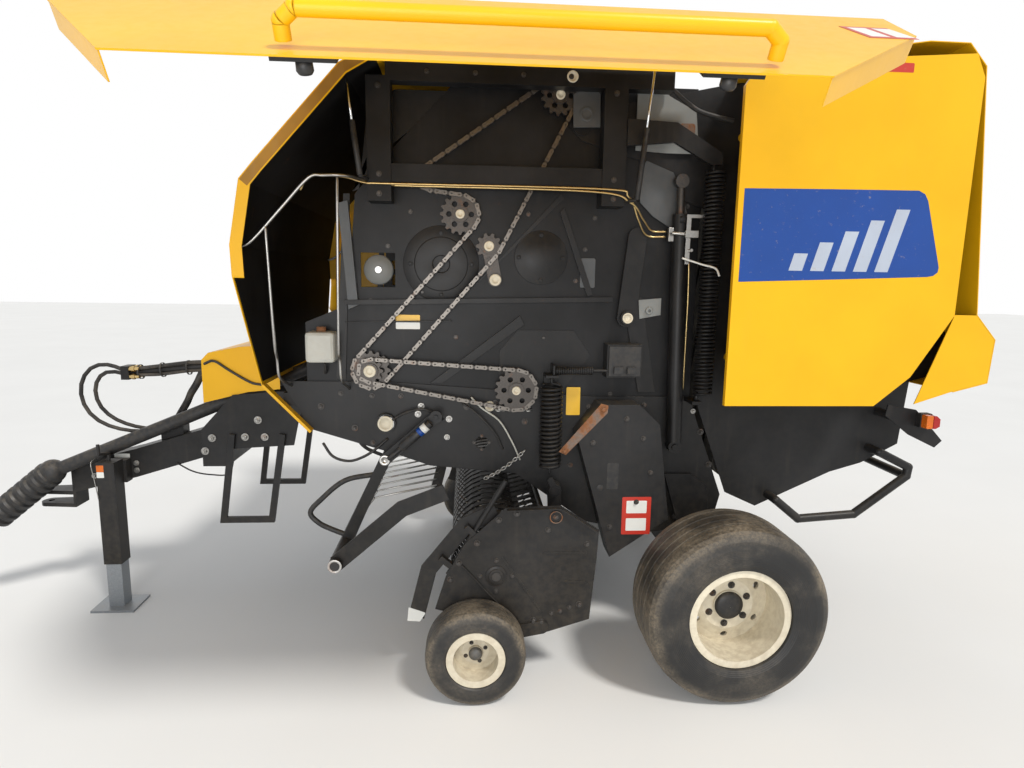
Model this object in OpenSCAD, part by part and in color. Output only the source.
/* [Machine] */
// Distance from the hitch pin back to the axle
hitch_reach = 3390; // [3200:10:3600]
// Height of the hitch pin above the ground
hitch_h = 560; // [520:5:600]
// Inside width of the bale chamber
chamber_w = 1200; // [1160:10:1240]
// Width over the outer faces of the closed side shields
body_w = 1900; // [1880:10:1960]
// Thickness of the chamber's side sheets
wall_t = 6; // [4:1:8]
// Thickness of the pressed shields and hood
skin_t = 4; // [3:0.5:6]
// Height of the roof over the chassis
roof_h = 2640; // [2620:10:2700]

/* [Wheels] */
// Outer diameter of the main tyres
tyre_d = 780; // [740:10:800]
// Width of the main tyres
tyre_w = 340; // [300:10:350]
// Width over the two main tyres
track_over = 2340; // [2330:10:2420]
// Diameter of the main rims over their flanges
rim_d = 430; // [400:5:450]
// Outer diameter of the pickup's gauge tyres
gauge_d = 420; // [400:5:430]
// Width of the gauge tyres
gauge_w = 160; // [130:5:170]
// Diameter of the gauge rims over their flanges
gauge_rim_d = 245; // [220:5:260]

/* [Tailgate] */
// Height of the tailgate's pivot above the ground
gate_pivot_h = 2426; // [2400:2:2440]
// Distance of the tailgate's pivot ahead of the axle
gate_pivot_x = 631; // [610:1:650]
// Rear reach of the tailgate's side panels behind the axle
gate_reach = 942; // [920:2:980]
// Bore of the tailgate's lift cylinders' pins
gate_pin_d = 30; // [24:1:32]

/* [Pickup] */
// Outer diameter over the pickup's tine tips
reel_d = 500; // [460:10:520]
// Width over the pickup's side plates
pickup_w = 1870; // [1840:10:1880]
// Wire diameter of the pickup's tines
tine_d = 6; // [5:0.5:8]
// Tine positions across the pickup
tine_count = 24; // [12:1:28]
// Height of the pickup's hinge
pickup_pivot_h = 800; // [790:2:810]
// Height of the pickup reel's centre
reel_h = 500; // [490:2:515]

/* [Drive] */
// Pitch of the main roller chains
chain_pitch = 32; // [25:1:38]
// Diameter of the hitch pin's bore
hitch_pin_d = 31; // [26:1:38]
// Diameter of the roller shafts
shaft_d = 40; // [35:1:45]

/* [Hidden] */
$fn = 48;

black = "#1c1c1e";
yellow = "#f2b20c";
grey = "#8a8d90";
cream = "#e8e2c8";
rubber = "#2a2a2c";

gap = 0.3;
pin_clear = 0.05;
wall_y = chamber_w / 2;
shield_y = body_w / 2;
shield_in = shield_y - skin_t;
gate_skin_y = shield_in - 15;
hitch_x = -hitch_reach;
front_x = -2035;
gate_x = -41;
gate_px = -gate_pivot_x;
gate_ph = gate_pivot_h;

// Places the model, drawn from the axle line and the ground, so that the hitch pin is the origin.
module from_hitch() translate([hitch_reach, 0, -hitch_h]) children();

// A flat plate in the side view, from y_from towards the right side.
module slab(y_from, t) translate([0, y_from + t, 0]) rotate([90, 0, 0]) linear_extrude(t) children();

// The same shape on the left and on the right.
module both() {
    children();
    mirror([0, 1, 0]) children();
}

// A round bar or bore across the machine.
module across(d, y0, y1, x, z) translate([x, y0, z]) rotate([-90, 0, 0]) cylinder(d = d, h = y1 - y0);

// A flat bar in the side view between two points.
function ang(a, b) = atan2(b[1] - a[1], b[0] - a[0]);
function dist(a, b) = norm([b[0] - a[0], b[1] - a[1]]);
module bar2d(a, b, w) translate(a) rotate(ang(a, b)) translate([0, -w / 2]) square([dist(a, b), w]);
module link2d(a, b, w) {
    bar2d(a, b, w);
    translate(a) circle(d = w + 1);
    translate(b) circle(d = w + 1);
}
// A strip of sheet of even thickness along a bent line, with mitred corners.
function unit(v) = v / norm(v);
function normal(a, b) = let (u = unit(b - a)) [-u[1], u[0]];
function mitre(p, i) = let (
    n0 = normal(p[max(i - 1, 0)], p[max(i, 1)]),
    n1 = normal(p[min(i, len(p) - 2)], p[min(i + 1, len(p) - 1)])
) (n0 + n1) / (1 + n0 * n1);
module band(p, a, b) polygon(concat(
    [for (i = [0 : len(p) - 1]) p[i] + mitre(p, i) * a],
    [for (i = [len(p) - 1 : -1 : 0]) p[i] + mitre(p, i) * b]
));
module strip(p, t) band(p, t / 2, -t / 2);
// The points of a line moved sideways by d.
function beside(p, d) = [for (i = [0 : len(p) - 1]) p[i] + mitre(p, i) * d];

// Turns the children's z axis from a towards b in space.
module along(a, b) {
    v = b - a;
    translate(a) rotate([0, acos(v[2] / norm(v)), atan2(v[1], v[0])]) children();
}
// A round bar between two points in space, and one bent through several with round elbows.
module stick(a, b, d) along(a, b) cylinder(d = d, h = norm(b - a));
module bent_bar(p, d) {
    for (i = [0 : len(p) - 2]) stick(p[i], p[i + 1], d);
    for (i = [1 : len(p) - 2]) translate(p[i]) sphere(d = d + 1);
}

// A chain or belt runs round discs of [x, z, radius, turn], where turn is 1 where it wraps the
// disc to the left and -1 where it wraps to the right.
function posmod(a) = a - 360 * floor(a / 360);
function heading(a, b) = atan2(b[1] - a[1], b[0] - a[0])
    - asin((b[2] * b[3] - a[2] * a[3]) / norm([b[0] - a[0], b[1] - a[1]]));
function turned(h0, h1, turn) = turn > 0 ? posmod(h1 - h0) : -posmod(h0 - h1);
function free_run(a, b) = sqrt(pow(b[0] - a[0], 2) + pow(b[1] - a[1], 2) - pow(b[2] * b[3] - a[2] * a[3], 2));
function wrap_at(p, i) = let (n = len(p), b = p[i])
    turned(heading(p[(i + n - 1) % n], b), heading(b, p[(i + 1) % n]), b[3]);
function stage_length(p, i) = abs(wrap_at(p, i)) * PI / 180 * p[i][2] + free_run(p[i], p[(i + 1) % len(p)]);
function total(v, i = 0) = i < len(v) ? v[i] + total(v, i + 1) : 0;
function loop_length(p) = total([for (i = [0 : len(p) - 1]) stage_length(p, i)]);
// The point and the heading at a distance along the loop.
function on_loop(p, s, i = 0) = let (
    n = len(p), b = p[i], c = p[(i + 1) % n],
    h0 = heading(p[(i + n - 1) % n], b), h1 = heading(b, c), t = wrap_at(p, i),
    arc = abs(t) * PI / 180 * b[2], run = free_run(b, c), r = b[2] * b[3]
) s <= arc ? let (h = h0 + t * s / arc) [b[0] + r * sin(h), b[1] - r * cos(h), h]
  : s <= arc + run || i == n - 1
    ? [b[0] + r * sin(h1) + (s - arc) * cos(h1), b[1] - r * cos(h1) + (s - arc) * sin(h1), h1]
    : on_loop(p, s - arc - run, i + 1);
function off_loop(q, d) = [q[0] - d * sin(q[2]), q[1] + d * cos(q[2])];
// The wraps' points, a few for each, for a smooth belt.
function belt_line(p, d, steps) = [for (i = [0 : len(p) - 1]) let (
    n = len(p), b = p[i], t = wrap_at(p, i), h0 = heading(p[(i + n - 1) % n], b), r = b[2] * b[3]
) for (k = [0 : steps]) let (h = h0 + t * k / steps) off_loop([b[0] + r * sin(h), b[1] - r * cos(h), h], d)];

// Tongue
tongue_w = 120;
tongue_wall = 8;
tongue_x = hitch_x + 162;
tongue_bottom = [[tongue_x, 600], [-2900, 682], [-2440, 822]];
tongue_top = [[tongue_x, 755], [-2900, 837], [-2440, 975]];
cheek_y = 310;
cheek_t = 10;
beam_x = -1960;
module tongue() color(black) {
    difference() {
        slab(-tongue_w / 2, tongue_w) polygon(concat(tongue_bottom, [for (i = [2 : -1 : 0]) tongue_top[i]]));
        slab(-tongue_w / 2 + tongue_wall, tongue_w - 2 * tongue_wall)
            polygon(concat(beside(tongue_bottom, tongue_wall),
                [for (i = [2 : -1 : 0]) beside(tongue_top, -tongue_wall)[i]]));
    }
    both() slab(-cheek_y, cheek_t) polygon([
        [-2450, 940], [-2450, 1000], [-2290, 1176], [-2060, 1195], [beam_x - gap, 1195],
        [beam_x - gap, 1100], [-2000, 920], [-2340, 900]]);
    translate([-2450, -cheek_y, 812]) cube([120, 2 * cheek_y, 170]);
}

// Hitch
clevis_t = 20;
clevis_w = 90;
module hitch_clevis() color(black) difference() {
    union() {
        for (z = [hitch_h - 45, hitch_h + 25]) translate([0, 0, z]) linear_extrude(clevis_t) {
            translate([hitch_x, 0]) circle(d = clevis_w);
            translate([hitch_x, 0]) polygon([
                [0, -clevis_w / 2], [152, -tongue_w / 2], [152, tongue_w / 2], [0, clevis_w / 2]]);
        }
        translate([hitch_x + 150, -tongue_w / 2, hitch_h - 45]) cube([12, tongue_w, 240]);
    }
    translate([hitch_x, 0, hitch_h - 100]) cylinder(d = hitch_pin_d, h = 200);
}

// Jack
jack_x = -2985;
jack_y = -160;
jack_w = 90;
jack_wall = 6;
jack_top = 800;
jack_clear = 0.5;
module jack_tube() color(black) {
    difference() {
        union() {
            translate([jack_x - jack_w / 2, jack_y - jack_w / 2, 250]) cube([jack_w, jack_w, jack_top - 250]);
            translate([jack_x - 60, jack_y + jack_w / 2 - 1, 670])
                cube([120, -jack_y - jack_w / 2 - tongue_w / 2 + 1 - gap, 120]);
        }
        translate([jack_x - jack_w / 2 + jack_wall, jack_y - jack_w / 2 + jack_wall, 240])
            cube([jack_w - 2 * jack_wall, jack_w - 2 * jack_wall, jack_top - 255]);
    }
    bent_bar([
        [jack_x, jack_y, jack_top - 8], [jack_x, jack_y, jack_top + 40], [jack_x, jack_y - 90, jack_top + 60],
        [jack_x, jack_y - 90, jack_top + 110]], 16);
}
module jack_leg() color(grey) {
    leg = jack_w - 2 * jack_wall - 2 * jack_clear;
    translate([jack_x - leg / 2, jack_y - leg / 2, 12]) cube([leg, leg, 480]);
    translate([jack_x - 110, jack_y - 90, 0]) cube([220, 180, 12]);
}

// Frame
plate_y = wall_y + wall_t;
plate_t = 10;
plate_out = plate_y + plate_t;
frame_profile = [
    [-1965, 1295], [-1500, 1295], [-560, 1230], [-65, 1230], [-65, 1175], [95, 750], [60, 600], [-260, 560],
    [-560, 620], [-900, 860], [-1300, 900], [-1440, 950], [-1842, 1075]
];
side_box = [[-535, 1214], [-353, 1214], [-257, 1122], [-196, 676], [-466, 494], [-635, 1076]];
side_box_out = 745;
post_x = [-1500, -505];
post_w = 100;
post_y = plate_y + 24;
post_out = post_y + 86;
post_low = 2080;
rail_in = 652;
rail_low = roof_h - 80;
rail_start = -1470;
rail_end = -260;
guard_pin = [-1267, 1149];
guard_pin_d = 20;
pickup_hinge = [-720, pickup_pivot_h];
hinge_pin_d = 40;
cyl_base = [-160, 1000];
cyl_eye = [-190, 2200];
cyl_y = 655;
spring_x = -747;
spring_y = 690;
rear_spring_x = -60;
rear_spring_y = 715;
// Pins on the frame plate: [x, z, diameter, reach].
frame_pins = [
    [guard_pin[0], guard_pin[1], guard_pin_d, 714],
    [pickup_hinge[0], pickup_hinge[1], hinge_pin_d, 704],
    [cyl_base[0], cyl_base[1], gate_pin_d, 684]
];
module side_frame() {
    slab(-plate_out, plate_t) difference() {
        polygon(frame_profile);
        translate([-1060, 1010]) circle(d = 60);
        translate([-1499, 1104]) circle(d = 76);
    }
    for (p = frame_pins) across(p[2] - 2 * pin_clear, -p[3], -plate_out, p[0], p[1]);
    slab(-plate_out - 22, 22) difference() {
        translate([-1499, 1104]) circle(d = 92);
        translate([-1499, 1104]) circle(d = 76);
    }
    slab(-side_box_out, side_box_out - plate_out) polygon(side_box);
    // hanger of the pickup's spring
    translate([spring_x - 30, -plate_out - 20, 1190]) cube([60, 20, 150]);
    translate([spring_x - 30, -spring_y - 20, 1328]) cube([60, spring_y - plate_out + 20, 12]);
    // seat of the tall spring behind the side box
    translate([rear_spring_x - 50, -rear_spring_y - 20, 1212]) cube([44, rear_spring_y - plate_out + 20, 16]);
}
module frame_left() color(black) side_frame();
module frame_right() color(black) mirror([0, 1, 0]) side_frame();

module side_posts() color(black) both() {
    for (x = post_x) {
        translate([x - post_w / 2, -post_out, post_low]) cube([post_w, post_out - post_y, rail_low + 20 - post_low]);
        translate([x - post_w / 2, -post_y - 1, post_low]) cube([post_w, post_y + 1 - plate_y - gap, 60]);
    }
    translate([post_x[0], -post_out + 6, post_low + 80]) cube([post_x[1] - post_x[0], 58, 75]);
    translate([rail_start, -post_out, rail_low])
        cube([rail_end - rail_start, post_out - rail_in, roof_h - skin_t / 2 - gap - rail_low]);
}

wall_profile = [
    [-1850, 1262], [-1500, 1262], [-560, 1205], [-80, 1205], [-80, 2480], [-120, 2600], [-1180, 2600],
    [-1440, 2330], [-1620, 2120], [-1660, 1640], [-1850, 1560]
];
module side_walls() color(black) both() {
    slab(-plate_y, wall_t) difference() {
        polygon(wall_profile);
        // opening beside the net roll
        translate([-1600, 1720]) square([150, 150]);
    }
    // the tailgate's pivot pin and its washer
    across(gate_pivot_d - 2 * pin_clear, -plate_y - 12, -wall_y - 2, gate_px, gate_ph);
    across(gate_pivot_d + 16, -plate_y - 16, -plate_y - 9, gate_px, gate_ph);
}

module cross_members() color(black) {
    for (p = [[-1700, 1200], [-300, 700]]) across(110, -plate_y + gap, plate_y - gap, p[0], p[1]);
    across(90, -wall_y + gap, wall_y - gap, -1150, 2480);
    translate([beam_x, -plate_y + gap, 1180]) cube([80, 2 * (plate_y - gap), 60]);
}

// Axle
axle_y = track_over / 2 - tyre_w;
spindle_d = 60;
spindle_end = track_over / 2 - tyre_w / 2 + 8;
module axle() color(black) {
    translate([-60, -axle_y + 40, tyre_d / 2 - 60]) cube([120, 2 * axle_y - 80, 120]);
    both() {
        across(spindle_d, -spindle_end, -axle_y + 42, 0, tyre_d / 2);
        across(110, -axle_y - 60, -axle_y + 42, 0, tyre_d / 2);
        slab(-plate_out - 20 - gap, 20) polygon([[-60, 440], [60, 440], [20, 800], [-60, 860], [-190, 860]]);
    }
}

// Hood
hood_foot = 1281;
// Height of a point of the hood as a share of the way from its foot to the roof.
function hood_at(share) = hood_foot + share * (roof_h - hood_foot);
hood_line = [
    [front_x, hood_foot], [-2053, hood_at(0.4393)], [-2007, hood_at(0.6232)], [-1955, hood_at(0.6681)],
    [-1619, hood_at(0.9411)], [-1480, roof_h], [-110, roof_h]
];
hood_y = shield_in - 30;
hood_lip = 45;
roof_cut_x = -700;
roof_cut_y = 730;
lug_x = [-1400, -800, -200];
lug_w = 13;
lug_pin_d = 8;
knuckle_d = 23;
knuckle_l = 90;
hinge_y = shield_y - 12;
hinge_drop = 40;
hinge_z = roof_h - hinge_drop;
module roof_sheet() {
    slab(-hood_y, 2 * hood_y) strip(hood_line, skin_t);
    both() slab(-hood_y, skin_t) band(hood_line, -hood_lip, -skin_t / 2 + 1);
}
// A lug and its short pin, which carry a knuckle of the shield.
module hinge_lug(x) {
    for (e = [-1, 1]) translate([x + e * (knuckle_l / 2 + 6) - 5, 0, 0]) rotate([90, 0, 90]) linear_extrude(10) {
        bar2d([-hood_y + 3, hinge_z + 24], [-hinge_y, hinge_z], lug_w);
        translate([-hinge_y, hinge_z]) circle(d = lug_w + 1);
    }
    translate([x - knuckle_l / 2 - 2, -hinge_y, hinge_z]) rotate([0, 90, 0])
        cylinder(d = lug_pin_d - 2 * pin_clear, h = knuckle_l + 4);
}
module front_hood() color(yellow) {
    difference() {
        intersection() {
            roof_sheet();
            translate([-3000, -1000, 1000]) cube([3000 + roof_cut_x, 2000, 2000]);
        }
        both() translate([front_x - 50, 0, 0]) rotate([90, 0, 90]) linear_extrude(2000) polygon([
            [hood_y + 1, 1760], [hood_y - 276, 1250], [hood_y + 1, 1250]]);
        translate([front_x - 50, -150, 1200]) cube([100, 300, 200]);
    }
    both() for (i = [0, 1]) hinge_lug(lug_x[i]);
    // slanted edge strip below the hood's front
    both() slab(-plate_out - gap - 44, 44) strip([[front_x + 1, 1283], [-1830, 1070]], 12);
}
module roof_sides() color(yellow) both() {
    intersection() {
        roof_sheet();
        translate([roof_cut_x + gap, -1000, 1000]) cube([1000, 1000 - roof_cut_y, 2000]);
    }
    hinge_lug(lug_x[2]);
}

// Rollers
roller_d = 150;
belt_t = 6;
belt_gap = 0.8;
belt_w = 150;
belt_pitch = 195;
belt_count = 6;
front_rolls = [[-1330, 1400], [-1330, 1900], [-1180, 2300], [-760, 2200]];
floor_roll = [-350, 900];
module front_rollers() color(grey) {
    for (p = front_rolls) across(roller_d, -wall_y + gap, wall_y - gap, p[0], p[1]);
    across(roller_d, -plate_y + gap, plate_y - gap, floor_roll[0], floor_roll[1]);
}

// Endless belts side by side round a set of rollers.
function belt_discs(rolls) = [for (p = rolls) [p[0], p[1], roller_d / 2 + belt_gap + belt_t / 2, 1]];
module belts(rolls) for (k = [0 : belt_count - 1])
    slab((k - (belt_count - 1) / 2) * belt_pitch - belt_w / 2, belt_w) difference() {
        polygon(belt_line(belt_discs(rolls), -belt_t / 2, 12));
        polygon(belt_line(belt_discs(rolls), belt_t / 2, 12));
    }
module front_belts() color(rubber) belts([for (i = [0, 3, 2, 1]) front_rolls[i]]);

rotor_d = 420;
module feeder_drum() color(black) difference() {
    across(rotor_d - 130, -plate_y + gap, plate_y - gap, -640, 900);
    across(60, -plate_y, plate_y, -640, 900);
}

// Drive
drive_y = 634;
sprocket_t = 12;
link_gap = 0.3;
link_t = 3.2;
second_y = drive_y + 24;
function pitch_r(teeth) = chain_pitch / 2 / sin(180 / teeth);
// Sprockets of [x, z, teeth, turn, where the shaft starts], in the order that the chain meets them.
main_drive = [
    [-735, 2545, 15, 1, plate_y],
    [-1290, 2190, 10, 1, plate_y],
    [-1162, 2040, 16, -1, plate_y],
    [-1560, 1350, 16, 1, plate_y],
    [-1035, 1905, 10, 1, plate_y]
];
second_drive = [
    [-1560, 1350, 10, 1, plate_y],
    [-906, 1265, 18, 1, plate_out]
];
function discs(drive) = [for (s = drive) [s[0], s[1], pitch_r(s[2]), s[3]]];
// A toothed wheel: each tooth is a tip of two points between two points of the root.
module sprocket2d(teeth) polygon([for (i = [0 : teeth - 1], c = [[-0.36, -7], [-0.14, 6], [0.14, 6], [0.36, -7]])
    let (a = (i + c[0]) * 360 / teeth, r = pitch_r(teeth) + c[1]) [r * cos(a), r * sin(a)]]);
module sprocket(s, y) {
    slab(-y - sprocket_t / 2, sprocket_t) translate([s[0], s[1]]) difference() {
        sprocket2d(s[2]);
        if (s[2] > 12) for (k = [0 : 5]) rotate(k * 60) translate([pitch_r(s[2]) * 0.6, 0]) circle(d = 24);
    }
    across(70, -y - 16, -y + 5, s[0], s[1]);
    across(shaft_d, -y - 14, -s[4] - gap, s[0], s[1]);
}
module drive_sprockets() color(grey) {
    for (s = main_drive) sprocket(s, drive_y);
    for (s = second_drive) sprocket(s, second_y);
    // arm of the idler and the boss that it turns on
    slab(-drive_y + 14, 8) link2d([-1006, 1759], [-1035, 1905], 60);
    across(56, -drive_y - 12, -plate_y - gap, -1006, 1759);
}
// Link plates: the outline is wide at each pin and narrow between pins.
plate_wide = 12.5;
plate_narrow = 9;
module link_plates(loop, waves) {
    n = round(loop_length(loop) / chain_pitch);
    step = loop_length(loop) / n / waves;
    function edge(side) = [for (i = [0 : n * waves - 1])
        off_loop(on_loop(loop, i * step), side * (i % waves == 0 ? plate_wide : plate_narrow))];
    difference() {
        polygon(edge(-1));
        polygon(edge(1));
    }
}
module chain(loop, y) {
    slab(-y - sprocket_t / 2 - link_gap - link_t, link_t) link_plates(loop, 2);
    slab(-y + sprocket_t / 2 + link_gap, link_t) link_plates(loop, 1);
}
module drive_chains() color(grey) {
    chain(discs(main_drive), drive_y);
    chain(discs(second_drive), second_y);
}

// Belt tension
arm_pivot = [-407, 1597];
arm_top = [-369, 1958];
module belt_tension() color(black) {
    across(64, -plate_y - 60, -plate_y - gap, arm_pivot[0], arm_pivot[1]);
    slab(-plate_y - 34, 16) link2d(arm_pivot, arm_top, 84);
    slab(-plate_y - 10 - gap, 10) polygon([[-340, 1590], [-240, 1610], [-240, 1690], [-350, 1680]]);
    // arm that pulls the tall springs, on the rear post
    slab(-rear_spring_y - 10, 20) polygon([
        [post_x[1] + post_w / 2 + gap, 2440], [post_x[1] + post_w / 2 + gap, 2330], [-250, 2350],
        [rear_spring_x - 25, 2262], [rear_spring_x + 25, 2262], [rear_spring_x + 25, 2310], [-240, 2430]]);
    // control box, spring bracket and the rod between them
    translate([-500, -plate_y - 90, 1330]) cube([160, 90 - gap, 150]);
    translate([-745, -plate_y - 110, 1345]) cube([8, 110 - gap, 40]);
    stick([-740, -plate_y - 84, 1360], [-495, -plate_y - 84, 1360], 14);
    translate([-732, -plate_y - 84, 1360]) rotate([0, 90, 0]) coil(38, 7, 170, 17);
}

gear_shaft = [-1560, 1350];
module gearbox() color(black) {
    translate([-1900, -150, 1256]) cube([440, 300, 250]);
    across(60, -wall_y + gap, wall_y - gap, gear_shaft[0], gear_shaft[1]);
}

// Drive shaft
shaft_front = [-3290, -130, 735];
shaft_rear = [-1925, 0, 1300];
boot_end = [-3590, -130, 490];
boot_d = 140;
boot_ribs = 8;
boot_rib = [[0, 0], [0.2, 9], [0.6, 9], [0.8, 0]];
module pto_boot(l) rotate_extrude() polygon(concat(
    [[0, 0]],
    [for (i = [0 : boot_ribs - 1], c = boot_rib) [boot_d / 2 - 9 + c[1], (i + c[0]) * l / boot_ribs]],
    [[42, l], [0, l]]));
module pto_shaft() color(rubber) {
    stick(shaft_front, shaft_rear, 70);
    translate([-1950, 0, 1300]) rotate([0, 90, 0]) cylinder(d = 96, h = 50 - gap);
    translate(shaft_front) sphere(d = 128);
    along(boot_end, shaft_front) {
        pto_boot(norm(shaft_front - boot_end));
        translate([0, 0, -52]) cylinder(d = 62, h = 60);
        for (k = [-1, 1]) translate([k * 30 - 8, -28, -66]) cube([16, 56, 70]);
    }
}

// Front cover
cover_line = [[-2434, 1135], [-2434, 1349], [-2400, 1385], [-2250, 1415], [front_x - 24, 1430]];
cover_side = [
    [-2434, 1135], [-2434, 1349], [-2400, 1385], [-2250, 1415], [front_x - 24, 1430], [front_x - 24, 1205], [-2216, 1190]
];
cover_t = 4;
module driveline_cover() color(yellow) {
    both() slab(-cheek_y + cheek_t + gap, cover_t) polygon(cover_side);
    slab(-cheek_y + cheek_t + gap + 1, 2 * (cheek_y - cheek_t - gap - 1)) band(cover_line, 0, -cover_t);
}
module step_loops() color(black) both()
    slab(-cheek_y - gap - 20, 20) strip([[-2296, 980], [-2359, 535], [-2120, 535], [-2050, 980]], 30);

// Hoses
hose_y = -150;
arm_z = 1300;
arm_end = [-2878, 1256];
clamp_y = 60;
hose_d = 22;
function on_tongue(x) = tongue_top[1][1] + (x - tongue_top[1][0])
    * (tongue_top[2][1] - tongue_top[1][1]) / (tongue_top[2][0] - tongue_top[1][0]);
module hose_arm() color(rubber) {
    // collar on the cover, arm and its head that holds the couplings
    translate([-2434 - gap - 44, hose_y, arm_z]) rotate([0, 90, 0]) cylinder(d = 72, h = 44);
    stick([-2470, hose_y, arm_z], [arm_end[0] + 20, hose_y, arm_end[1] + 6], 34);
    translate([arm_end[0], hose_y - 40, arm_end[1] - 25]) cube([40, 80, 70]);
    // bundle down to the clamp on the tongue
    bent_bar([[-2470, hose_y, arm_z], [-2560, -60, 1190], [-2640, 18, 1090], [-2705, 20, 985]], 52);
    slab(-20, clamp_y + 20) polygon([
        [-2780, on_tongue(-2780) + gap], [-2660, on_tongue(-2660) + gap], [-2660, 1005], [-2780, 965]]);
}
// Each hose: its place across the machine and its points [x, z], from the clamp to the arm's head.
hose_long_y = 6;
hose_long_route = [
    [-2780.5, 926], [-2830, 926], [-2880, 925], [-2930, 930], [-2980, 942], [-3030, 962], [-3075, 992], [-3110, 1034],
    [-3130, 1085], [-3134, 1140], [-3122, 1194], [-3096, 1242], [-3057, 1280], [-3010, 1300], [-2960, 1303],
    [-2918, 1295], [-2882, 1284]
];
hose_short_y = 36;
hose_short_route = [
    [-2780.5, 930], [-2828, 930], [-2875, 936], [-2920, 948], [-2962, 966], [-3002, 990], [-3036, 1022], [-3062, 1062],
    [-3074, 1108], [-3072, 1156], [-3056, 1200], [-3028, 1236], [-2990, 1258], [-2940, 1263], [-2882, 1254]
];
module swept(route, y0, y1, d) {
    n = len(route);
    sides = 8;
    function tangent(i) = unit(route[min(i + 1, n - 1)] - route[max(i - 1, 0)]);
    function ring(i) = let (t = tangent(i), y = y0 + (y1 - y0) * i / (n - 1)) [for (k = [0 : sides - 1])
        let (a = k * 360 / sides)
        [route[i][0] - t[1] * cos(a) * d / 2, y + sin(a) * d / 2, route[i][1] + t[0] * cos(a) * d / 2]];
    polyhedron(
        points = [for (i = [0 : n - 1]) each ring(i)],
        faces = concat(
            [[for (k = [0 : sides - 1]) k]],
            [for (i = [0 : n - 2], k = [0 : sides - 1]) let (a = i * sides + k, b = i * sides + (k + 1) % sides)
                [b, a, a + sides, b + sides]],
            [[for (k = [sides - 1 : -1 : 0]) (n - 1) * sides + k]]));
}
module hose_long() color(rubber) swept(hose_long_route, hose_long_y, hose_y - 18, hose_d);
module hose_short() color(rubber) swept(hose_short_route, hose_short_y, hose_y + 18, hose_d);

tank_x = [-1831, -1704];
module oil_tank() color("white") {
    translate([tank_x[0], -plate_y - gap - 110, 1390]) cube([tank_x[1] - tank_x[0], 110, 135]);
    translate([(tank_x[0] + tank_x[1]) / 2, -plate_y - 60, 1520]) cylinder(d = 44, h = 26);
}

// Springs
module coil(d, wire, h, turns) {
    step = h / turns;
    rotate_extrude() polygon(concat([[0, 0]], [for (i = [0 : turns - 1], a = [-90 : 60 : 89])
        [d / 2 - wire / 2 + wire / 2 * cos(a), step * (i + 0.5 + sin(a) / 2)]], [[d / 2 - wire / 2, h], [0, h]]));
}
module pickup_springs() color(black) both() translate([spring_x, -spring_y, 905]) {
    coil(105, 14, 395, 17);
    translate([0, 0, 390]) cylinder(d = 24, h = 1328 - 905 - 390 - gap);
    translate([0, 0, -26]) cylinder(d = 24, h = 30);
}
module belt_springs() color(black) both() translate([rear_spring_x, -rear_spring_y, 1250]) {
    coil(90, 12, 1000, 40);
    translate([-10, 0, 990]) cylinder(d = 20, h = 22 - gap);
    translate([-26, 0, -22 + gap]) cylinder(d = 20, h = 30);
}

// Wheels
wheel_yc = track_over / 2 - tyre_w / 2;
bead_h = 22;
flange_t = 7;
// Outlines of a tyre's half section: [share of the side wall's height, share of half the width].
tyre_outer = [
    [0.27, 0.985], [0.42, 1], [0.62, 0.985], [0.77, 0.945], [0.88, 0.88], [0.95, 0.78], [0.985, 0.64]
];
tyre_inner = [[0, 0.66], [0.14, 0.8], [0.42, 0.89], [0.66, 0.85], [0.79, 0.72], [0.84, 0.3]];
// Grooves round the tread: [centre as a share of half the width].
grooves = [-0.46, -0.155, 0.155, 0.46];
groove_w = 0.035;
module tyre_shape(d, w, rd) {
    bead = rd / 2 - bead_h;
    lip = (bead_h + gap) / (d / 2 - bead);
    outer = concat([[0, 0.82], [lip, 0.82], [lip + 0.02, 0.92]], tyre_outer);
    function at(p, side) = [bead + p[0] * (d / 2 - bead), side * p[1] * w / 2];
    function back(v) = [for (i = [len(v) - 1 : -1 : 0]) v[i]];
    rotate([90, 0, 0]) rotate_extrude($fn = 64) polygon(concat(
        [for (p = outer) at(p, -1)],
        [for (g = grooves, c = [[-1, 1], [-0.7, 0.955], [0.7, 0.955], [1, 1]]) at([c[1], g + c[0] * groove_w], 1)],
        [for (p = back(outer)) at(p, 1)],
        [for (p = tyre_inner) at(p, 1)],
        [for (p = back(tyre_inner)) at(p, -1)]
    ));
}
// A dished wheel: hoop, disc, hub round the spindle and a domed cap, outer side towards +y of the section.
module rim_shape(w, rd, bore, hub, cap, holes) {
    seat = rd / 2 - bead_h - gap;
    inner = seat - 7;
    fi = 0.82 * w / 2 + gap;
    fo = fi + flange_t;
    k = w / 340;
    difference() {
        rotate([90, 0, 0]) rotate_extrude($fn = 64) polygon([
            [bore / 2, -60 * k], [hub, -60 * k], [hub, -6 * k], [inner * 0.6, -6 * k], [inner * 0.82, -26 * k],
            [inner, -34 * k], [inner, -fo], [rd / 2, -fo], [rd / 2, -fi], [seat, -fi], [seat, fi], [rd / 2, fi],
            [rd / 2, fo], [inner, fo], [inner, -22 * k], [inner * 0.82, -12 * k], [inner * 0.6, 8 * k], [hub, 8 * k],
            [hub, 16], [cap, 16], [cap, 24], [cap * 0.85, 32], [cap * 0.5, 37], [0, 38], [0, 12], [bore / 2, 12]]);
        for (i = [0 : holes - 1]) rotate([0, i * 360 / max(holes, 1), 0]) translate([0, 0, inner * 0.8])
            rotate([90, 0, 0]) cylinder(d = inner * 0.16, h = 100, center = true);
    }
}
module wheel_at() translate([0, -wheel_yc, tyre_d / 2]) children();
module tyre_left() color(rubber) wheel_at() tyre_shape(tyre_d, tyre_w, rim_d);
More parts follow.
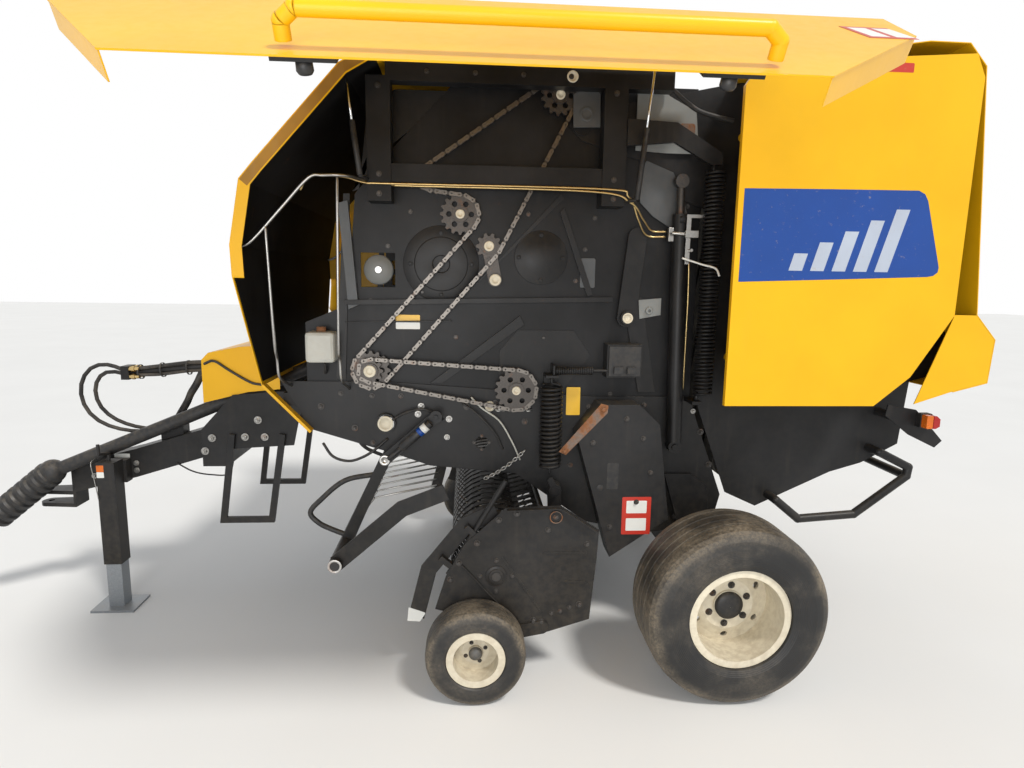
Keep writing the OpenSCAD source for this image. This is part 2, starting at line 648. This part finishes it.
module tyre_right() color(rubber) mirror([0, 1, 0]) wheel_at() tyre_shape(tyre_d, tyre_w, rim_d);
module main_rim() wheel_at() rim_shape(tyre_w, rim_d, spindle_d + 2 * pin_clear, 65, 58, 6);
module rim_left() color(cream) main_rim();
module rim_right() color(cream) mirror([0, 1, 0]) main_rim();

// Shields
flat_w = 895;
band_w = 520;
band_bend = 21.6;
shield_open = 79;
shield_x = [front_x - 15, gate_x - 14];
corner_front = [247, -520];
corner_rear = [357, -520];
corner_u = -169;
corner_lip = 60;
// Grab rail on the shield's folded part: [x, distance from the fold, distance off the sheet].
rail_d = 32;
rail_route = [[-1477, 470, 14], [-1477, 470, 48], [-1450, 470, 70], [-545, 470, 70], [-518, 470, 48], [-518, 470, 14]];
module shield() {
    x0 = shield_x[0];
    x1 = shield_x[1];
    yc = -12 + skin_t / 2;
    difference() {
        translate([x1, 0, 0]) rotate([0, -90, 0]) linear_extrude(x1 - x0) strip([
            [-2, yc], [-flat_w, yc], [-flat_w - band_w * cos(band_bend), yc + band_w * sin(band_bend)]], skin_t);
        translate([0, yc, -flat_w]) rotate([band_bend, 0, 0]) slab(-50, 100) {
            polygon([[x0 - 1, corner_u], [x0 - 1, -600], [x0 + corner_front[0] + 60, -600], [x0 + corner_front[0], corner_front[1]],
                [x0, corner_u]]);
            polygon([[x1 + 1, corner_u], [x1, corner_u], [x1 - corner_rear[0], corner_rear[1]], [x1 - corner_rear[0] - 60, -600],
                [x1 + 1, -600]]);
        }
    }
    // folded lips along the cut corners
    translate([0, yc, -flat_w]) rotate([band_bend, 0, 0]) slab(-skin_t / 2 + 0.5, corner_lip) {
        band([[x0 + 2, corner_u - 2], [x0 + corner_front[0], corner_front[1] + 3]], 4, 1);
        band([[x1 - 2, corner_u - 2], [x1 - corner_rear[0], corner_rear[1] + 3]], -1, -4);
    }
    // hinge knuckles
    for (x = lug_x) translate([x - knuckle_l / 2, 0, 0]) rotate([0, 90, 0]) difference() {
        cylinder(d = knuckle_d, h = knuckle_l);
        translate([0, 0, -1]) cylinder(d = lug_pin_d, h = knuckle_l + 2);
    }
    translate([0, yc, -flat_w]) rotate([band_bend, 0, 0]) bent_bar([for (p = rail_route) [p[0], -p[2], -p[1]]], rail_d);
}
module shield_at(open) translate([0, -hinge_y, hinge_z]) rotate([-open, 0, 0]) shield();
module shield_left() color(yellow) shield_at(shield_open);
module shield_right() color(yellow) mirror([0, 1, 0]) shield_at(0);

// Tailgate
gate_pivot_d = 60;
gate_sheet_y = plate_y + 2;
gate_line = [
    [20, 2625], [719, 2730], [888, 2729], [967, 2644], [1060, 1640], [1156, 1534], [1145, 1345], [993, 1305]
];
gate_inner = beside(gate_line, -skin_t / 2 - gap);
gate_profile = concat([
    [gate_px, gate_ph + 60], [gate_px - 60, gate_ph], [gate_px, gate_ph - 60], [-230, 2250], [-230, 2150],
    [-40, 2080], [-40, 1180], [120, 760], [274, 690], [637, 860], [790, 905], [967, 1000], [982, 1183]
], [for (i = [len(gate_line) - 1 : -1 : 0]) gate_inner[i]]);
module gate_sheets() color(black) both() slab(-gate_sheet_y - wall_t, wall_t) difference() {
    polygon(gate_profile);
    translate([gate_px, gate_ph]) circle(d = gate_pivot_d);
    translate(cyl_eye) circle(d = 40);
}
panel_profile = [
    [gate_x, 1246], [616, 1247], [767, 1373], [934, 1638], [gate_reach, 2591], [900, 2680], [60, 2620],
    [0, 2590], [gate_x, 2530]
];
panel_lip = 22;
// Stand-off tubes between the side sheet and the panel: [x, z].
stand_offs = [[90, 1420], [640, 1500], [90, 2400], [800, 2400]];
module gate_panel() {
    slab(-gate_skin_y, skin_t) polygon(panel_profile);
    slab(-gate_skin_y + 1, panel_lip) difference() {
        polygon(panel_profile);
        offset(delta = -3) polygon(panel_profile);
    }
    for (p = stand_offs) across(40, -gate_skin_y + 1, -gate_sheet_y - wall_t - gap, p[0], p[1]);
}
module gate_panel_left() color(yellow) gate_panel();
module gate_panel_right() color(yellow) mirror([0, 1, 0]) gate_panel();
back_y = gate_skin_y - skin_t - panel_lip - 5;
module gate_back() color(yellow) {
    slab(-back_y, 2 * back_y) strip(gate_line, skin_t);
    both() slab(-back_y, skin_t) polygon([
        [820, 1250], gate_inner[7], gate_inner[6], gate_inner[5] + [-1, 0], gate_inner[4] + [-1, 0], [960, 1640]]);
}
gate_rolls = [[150, 900], [600, 1050], [900, 1500], [900, 2300], [400, 2500]];
module gate_rollers() color(grey) for (p = gate_rolls)
    across(roller_d, -gate_sheet_y + gap, gate_sheet_y - gap, p[0], p[1]);
module gate_belts() color(rubber) belts(gate_rolls);
// Hoop of tube below the tailgate, with the brackets of the lamps.
hoop_y = 700;
hoop_route = [[335, 748], [450, 655], [724, 675], [968, 863], [973, 907], [821, 981]];
hoop_d = 40;
module gate_hoop() color(black) {
    both() {
        bent_bar([for (p = hoop_route) [p[0], -hoop_y, p[1]]], hoop_d);
        for (p = [hoop_route[0], hoop_route[5]]) {
            across(hoop_d, -hoop_y, -gate_sheet_y - wall_t - gap, p[0], p[1]);
            translate([p[0], -hoop_y, p[1]]) sphere(d = hoop_d + 1);
        }
        slab(-806, 6) polygon([[769, 1229], [904, 1206], [1043, 1062], [1010, 1030], [880, 1090], [760, 1180]]);
        across(40, -803, -gate_sheet_y - wall_t - gap, 850, 1160);
    }
    across(hoop_d, -hoop_y, hoop_y, 968, 863);
}
module gate_lamps() color("red") both() slab(-806 - gap - 72, 72) polygon([
    [905, 1130], [955, 1130], [975, 1140], [975, 1180], [955, 1196], [905, 1196]]);

// Tailgate cylinders
eye_w = 40;
eye_d = 60;
cyl_a = ang(cyl_base, cyl_eye);
cyl_l = dist(cyl_base, cyl_eye);
module along_cylinder() translate([cyl_base[0], -cyl_y, cyl_base[1]]) rotate([0, 90 - cyl_a, 0]) children();
module eye(d) rotate([90, 0, 0]) cylinder(d = d, h = eye_w, center = true);
module barrel() along_cylinder() difference() {
    union() {
        eye(eye_d);
        translate([0, 0, 24]) cylinder(d = 70, h = cyl_l - 165);
    }
    rotate([90, 0, 0]) cylinder(d = gate_pin_d, h = 80, center = true);
    translate([0, 0, 60]) cylinder(d = 37, h = cyl_l);
}
module rod() along_cylinder() {
    translate([0, 0, 70]) cylinder(d = 36, h = cyl_l - 90);
    translate([0, 0, cyl_l]) eye(eye_d);
    translate([0, cyl_y - plate_out, cyl_l]) rotate([90, 0, 0]) cylinder(d = gate_pin_d, h = 60);
}
module gate_barrel_left() color(black) barrel();
module gate_barrel_right() color(black) mirror([0, 1, 0]) barrel();
module gate_rod_left() color(grey) rod();
module gate_rod_right() color(grey) mirror([0, 1, 0]) rod();

// Pickup
reel_x = -1000;
pickup_t = 6;
side_profile = [
    [-962, 805], [-727, 812], [-559, 703], [-564, 584], [-589, 292], [-778, 234], [-866, 237], [-1262, 353],
    [-1215, 503], [-1130, 651]
];
arm_y = [640, 652];
gauge_x = -1088;
gauge_yc = 1030;
gauge_pin_d = 26;
pickup_tube = [-700, 420];
strip_bars = [[-780, 705], [-790, 270]];
module pickup_frame() color(black) {
    both() {
        slab(-pickup_w / 2, pickup_t) difference() {
            polygon(side_profile);
            translate([reel_x, reel_h]) circle(d = shaft_d + 2 * pin_clear);
        }
        // folded lip along the top
        slab(-pickup_w / 2 - 25, 26) strip([[-958, 799], [-731, 806], [-566, 698]], 4);
        // tube in front of the plate, with two tabs that join it, the plate and the shoe
        stick([-963, -917, 919], [-1207, -917, 503], 22);
        slab(-932, 30) bar2d([-1130, 720], [-1080, 672], 24);
        slab(-932, 30) bar2d([-1240, 582], [-1180, 530], 24);
        // shoe in front of the side plate
        slab(-905, 8) strip([[-1000, 780], [-1130, 720], [-1290, 520], [-1345, 300]], 70);
        // arms on the hinge pins, with the lug of the spring
        difference() {
            union() {
                slab(-arm_y[1], arm_y[1] - arm_y[0]) link2d(pickup_hinge, pickup_tube, 64);
                across(58, -700, -arm_y[0] - 2, pickup_hinge[0], pickup_hinge[1]);
                slab(-700, 12) link2d(pickup_hinge, [-741, 848], 28);
            }
            across(hinge_pin_d, -760, -600, pickup_hinge[0], pickup_hinge[1]);
        }
        // arm and spindle of the gauge wheel
        slab(-945, 11) link2d([-800, 262], [gauge_x, gauge_d / 2], 60);
        across(gauge_pin_d - 2 * pin_clear, -gauge_yc - 6, -940, gauge_x, gauge_d / 2);
    }
    across(60, -pickup_w / 2 + 3, pickup_w / 2 - 3, pickup_tube[0], pickup_tube[1]);
}
tine_y0 = pickup_w / 2 - 60;
tine_step = 2 * tine_y0 / (tine_count - 1);
strip_r = 198;
strip_w = 46;
strip_route = concat([strip_bars[0]], [for (a = [60 : 15 : 300]) [reel_x + strip_r * cos(a), reel_h + strip_r * sin(a)]],
    [strip_bars[1]]);
module pickup_bands() color(grey) {
    for (i = [0 : tine_count - 2]) slab(-tine_y0 + (i + 0.5) * tine_step - strip_w / 2, strip_w) strip(strip_route, 4);
    for (p = strip_bars) across(26, -pickup_w / 2 + pickup_t + gap, pickup_w / 2 - pickup_t - gap, p[0], p[1]);
}
bar_r = 150;
bar_d = 25;
coil_d = 42;
coil_turns = 2;
tine_out = 8;
// A bar turned with the coils of its tines: each tine starts beside its coil.
module tine_bar() {
    pitch = tine_d + 1;
    rotate([-90, 0, 0]) rotate_extrude($fn = 24) polygon(concat(
        [[0, -910], [bar_d / 2, -910]],
        [for (i = [0 : tine_count - 1], k = [0 : coil_turns - 1], c = [[-0.5, 0], [-0.3, 1], [0.3, 1], [0.5, 0]])
            [c[1] * (coil_d - bar_d) / 2 + bar_d / 2, -tine_y0 + i * tine_step + (k - 1 + c[0]) * pitch]],
        [[bar_d / 2, 910], [0, 910]]));
    for (i = [0 : tine_count - 1]) translate([0, -tine_y0 + i * tine_step, bar_d / 2 - 4])
        cylinder(d = tine_d, h = reel_d / 2 - bar_r - bar_d / 2 + 4, $fn = 13);
}
module pickup_reel() color(grey) translate([reel_x, 0, reel_h]) {
    across(90, -910, 910, 0, 0);
    across(shaft_d, -pickup_w / 2 - 12, pickup_w / 2 + 12, 0, 0);
    both() slab(-913, 8) difference() {
        circle(r = bar_r + 15);
        for (k = [0 : 3]) rotate(k * 90) translate([100, 0]) circle(d = 70);
    }
    for (b = [0 : 3]) rotate([0, b * 90 + 45, 0]) translate([0, 0, bar_r]) tine_bar();
}
module gauge_at() translate([gauge_x, -gauge_yc, gauge_d / 2]) children();
module gauge_tyre_left() color(rubber) gauge_at() tyre_shape(gauge_d, gauge_w, gauge_rim_d);
module gauge_tyre_right() color(rubber) mirror([0, 1, 0]) gauge_at() tyre_shape(gauge_d, gauge_w, gauge_rim_d);
module gauge_rim() gauge_at() rim_shape(gauge_w, gauge_rim_d, gauge_pin_d, 30, 26, 0);
module gauge_rim_left() color(cream) gauge_rim();
module gauge_rim_right() color(cream) mirror([0, 1, 0]) gauge_rim();

// Windguard
guard_knee = [-1496, 951];
guard_tube = [-1680, 560];
guard_tube_d = 60;
wire_count = 13;
module windguard() color(black) {
    both() slab(-924, 8) difference() {
        strip([[-1215, 872], [-1400, 800], guard_tube], 70);
        translate(guard_tube) circle(d = guard_tube_d + 2 * gap);
    }
    both() slab(-706, 12) difference() {
        union() {
            strip([guard_pin, guard_knee, guard_tube], 50);
            translate(guard_pin) circle(d = 56);
        }
        translate(guard_pin) circle(d = guard_pin_d);
    }
    across(guard_tube_d, -950, 950, guard_tube[0], guard_tube[1]);
    for (i = [0 : wire_count - 1]) let (y = (i - (wire_count - 1) / 2) * 100)
        bent_bar([[guard_tube[0], y, guard_tube[1] + 20], [-1560, y, 740], [-1270, y, 800]], 8, $fn = 13);
}

from_hitch() tongue();
from_hitch() hitch_clevis();
from_hitch() jack_tube();
from_hitch() jack_leg();
from_hitch() frame_left();
from_hitch() frame_right();
from_hitch() side_walls();
from_hitch() side_posts();
from_hitch() cross_members();
from_hitch() axle();
from_hitch() front_hood();
from_hitch() roof_sides();
from_hitch() front_rollers();
from_hitch() front_belts();
from_hitch() feeder_drum();
from_hitch() drive_sprockets();
from_hitch() drive_chains();
from_hitch() belt_tension();
from_hitch() gearbox();
from_hitch() pto_shaft();
from_hitch() driveline_cover();
from_hitch() step_loops();
from_hitch() hose_arm();
from_hitch() hose_long();
from_hitch() hose_short();
from_hitch() oil_tank();
from_hitch() pickup_springs();
from_hitch() belt_springs();
from_hitch() tyre_left();
from_hitch() tyre_right();
from_hitch() rim_left();
from_hitch() rim_right();
from_hitch() shield_left();
from_hitch() shield_right();
from_hitch() gate_sheets();
from_hitch() gate_panel_left();
from_hitch() gate_panel_right();
from_hitch() gate_back();
from_hitch() gate_rollers();
from_hitch() gate_belts();
from_hitch() gate_hoop();
from_hitch() gate_lamps();
from_hitch() gate_barrel_left();
from_hitch() gate_barrel_right();
from_hitch() gate_rod_left();
from_hitch() gate_rod_right();
from_hitch() pickup_frame();
from_hitch() pickup_bands();
from_hitch() pickup_reel();
from_hitch() gauge_tyre_left();
from_hitch() gauge_tyre_right();
from_hitch() gauge_rim_left();
from_hitch() gauge_rim_right();
from_hitch() windguard();
